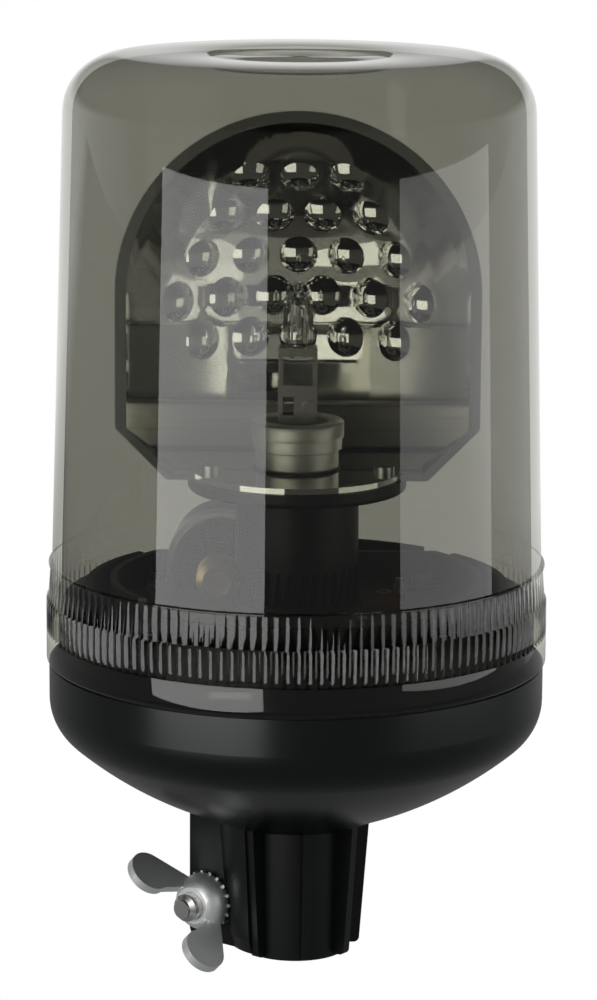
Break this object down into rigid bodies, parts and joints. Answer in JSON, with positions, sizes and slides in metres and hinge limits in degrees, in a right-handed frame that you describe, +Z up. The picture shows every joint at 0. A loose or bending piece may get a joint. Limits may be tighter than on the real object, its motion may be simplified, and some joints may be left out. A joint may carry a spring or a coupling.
{
  "type": "rotating beacon",
  "caption": "Rotating warning beacon: clear ribbed dome over a worm-driven parabolic mirror and halogen lamp, black bowl base on a wing-nut clamped pole socket.",
  "frame": {"origin": "on the beacon's axis at the mouth of the pole socket", "axes": "+Z up along the pole and the lamp's axis; -Y is the front, where the mirror looks at rest; +X to the right seen from the front"},
  "size_m": [0.1424, 0.1424, 0.2588],
  "materials": {
    "black_housing": "fine satin moulding",
    "black_socket": "satin moulding",
    "smoked_clear": "clear polished moulding",
    "seal_rubber": "matt",
    "black_deck": "satin moulding",
    "cast_grey": "as cast",
    "bright_mirror": "metallised moulding",
    "drum_black": "satin moulding",
    "carrier_grey": "satin moulding",
    "zinc_steel": "zinc plated",
    "zinc_cast": "zinc plated",
    "motor_steel": "drawn",
    "motor_cap_black": "satin moulding",
    "brass_part": "bright",
    "bush_bronze": "sintered",
    "insulator": "satin moulding",
    "board_brown": "laminate",
    "worm_metal": "machined",
    "nickel_ring": "nickel plated",
    "sleeve_metal": "bright",
    "lamp_glass": "clear",
    "tungsten": "drawn"
  },
  "bodies": {
    "base": {"base_bowl": "black_housing", "pole_socket": "black_socket", "socket_plate": "zinc_steel", "socket_screws": "zinc_steel", "earth_tag": "brass_part", "contact_carrier": "insulator", "contact_spring": "zinc_steel", "clamp_bolt": "zinc_steel", "chassis_deck": "black_deck", "deck_screws": "zinc_steel", "gear_tray": "cast_grey", "tray_screws": "zinc_steel", "motor_case": "motor_steel", "motor_end_cap": "motor_cap_black", "motor_terminals": "brass_part", "motor_strap": "zinc_steel", "strap_screws": "zinc_steel", "terminal_board": "board_brown", "terminal_eyelet": "brass_part", "terminal_post": "zinc_steel", "centre_post": "zinc_steel", "post_circlip": "zinc_steel", "thrust_washer": "insulator", "lamp_cup": "nickel_ring", "lamp_insulator": "insulator", "lamp_contact": "brass_part", "bulb_base": "sleeve_metal", "bulb_glass": "lamp_glass", "bulb_filament": "tungsten", "bulb_screw": "zinc_steel", "bulb_clip": "sleeve_metal"},
    "dome_seal": {"dome_seal": "seal_rubber"},
    "dome": {"dome": "smoked_clear"},
    "rotor": {"drum_gear": "drum_black", "carrier_plate": "carrier_grey", "bearing_bushes": "bush_bronze", "reflector": "bright_mirror", "reflector_screws": "zinc_steel"},
    "worm": {"worm": "worm_metal", "motor_shaft": "zinc_steel"},
    "washer": {"toothed_washer": "zinc_steel"},
    "wing_nut": {"wing_nut": "zinc_cast"},
    "lamp_ring": {"lamp_ring": "nickel_ring"},
    "contact": {"centre_contact": "brass_part"}
  },
  "joints": [
    {"name": "beacon_spin", "type": "hinge", "parent": "base", "child": "rotor", "pos_m": [0, 0, 0.109], "axis": [0, 0, 1], "continuous": true},
    {"name": "worm_spin", "type": "hinge", "parent": "base", "child": "worm", "pos_m": [-0.0224, 0, 0.109], "axis": [0, -1, 0], "continuous": true},
    {"name": "dome_rise", "type": "slide", "parent": "base", "child": "dome_seal", "axis": [0, 0, 1], "range_m": [0, 0.0041]},
    {"name": "dome_unscrew", "type": "hinge", "parent": "dome_seal", "child": "dome", "pos_m": [0, 0, 0.0864], "axis": [0, 0, 1], "range_deg": [0, 60]},
    {"name": "washer_back_off", "type": "slide", "parent": "base", "child": "washer", "axis": [-0.6018, -0.7986, 0], "range_m": [0, 0.00252]},
    {"name": "wing_nut_turn", "type": "hinge", "parent": "washer", "child": "wing_nut", "pos_m": [-0.01469, 0.01107, 0.0143], "axis": [-0.6018, -0.7986, 0], "range_deg": [0, 720]},
    {"name": "lamp_ring_turn", "type": "hinge", "parent": "base", "child": "lamp_ring", "pos_m": [0, 0, 0.15], "axis": [0, 0, 1], "range_deg": [0, 30]},
    {"name": "centre_contact_press", "type": "slide", "parent": "base", "child": "contact", "axis": [0, 0, 1], "range_m": [0, 0.003], "stiffness_N_per_m": 500, "springref_m": -0.002, "deforming": ["contact_spring"]}
  ],
  "couplings": [
    {"joint": "worm_spin", "follows": "beacon_spin", "ratio": -34},
    {"joint": "dome_rise", "follows": "dome_unscrew", "m_per_rad": 0.0038197},
    {"joint": "washer_back_off", "follows": "wing_nut_turn", "m_per_rad": 0.00019894}
  ]
}
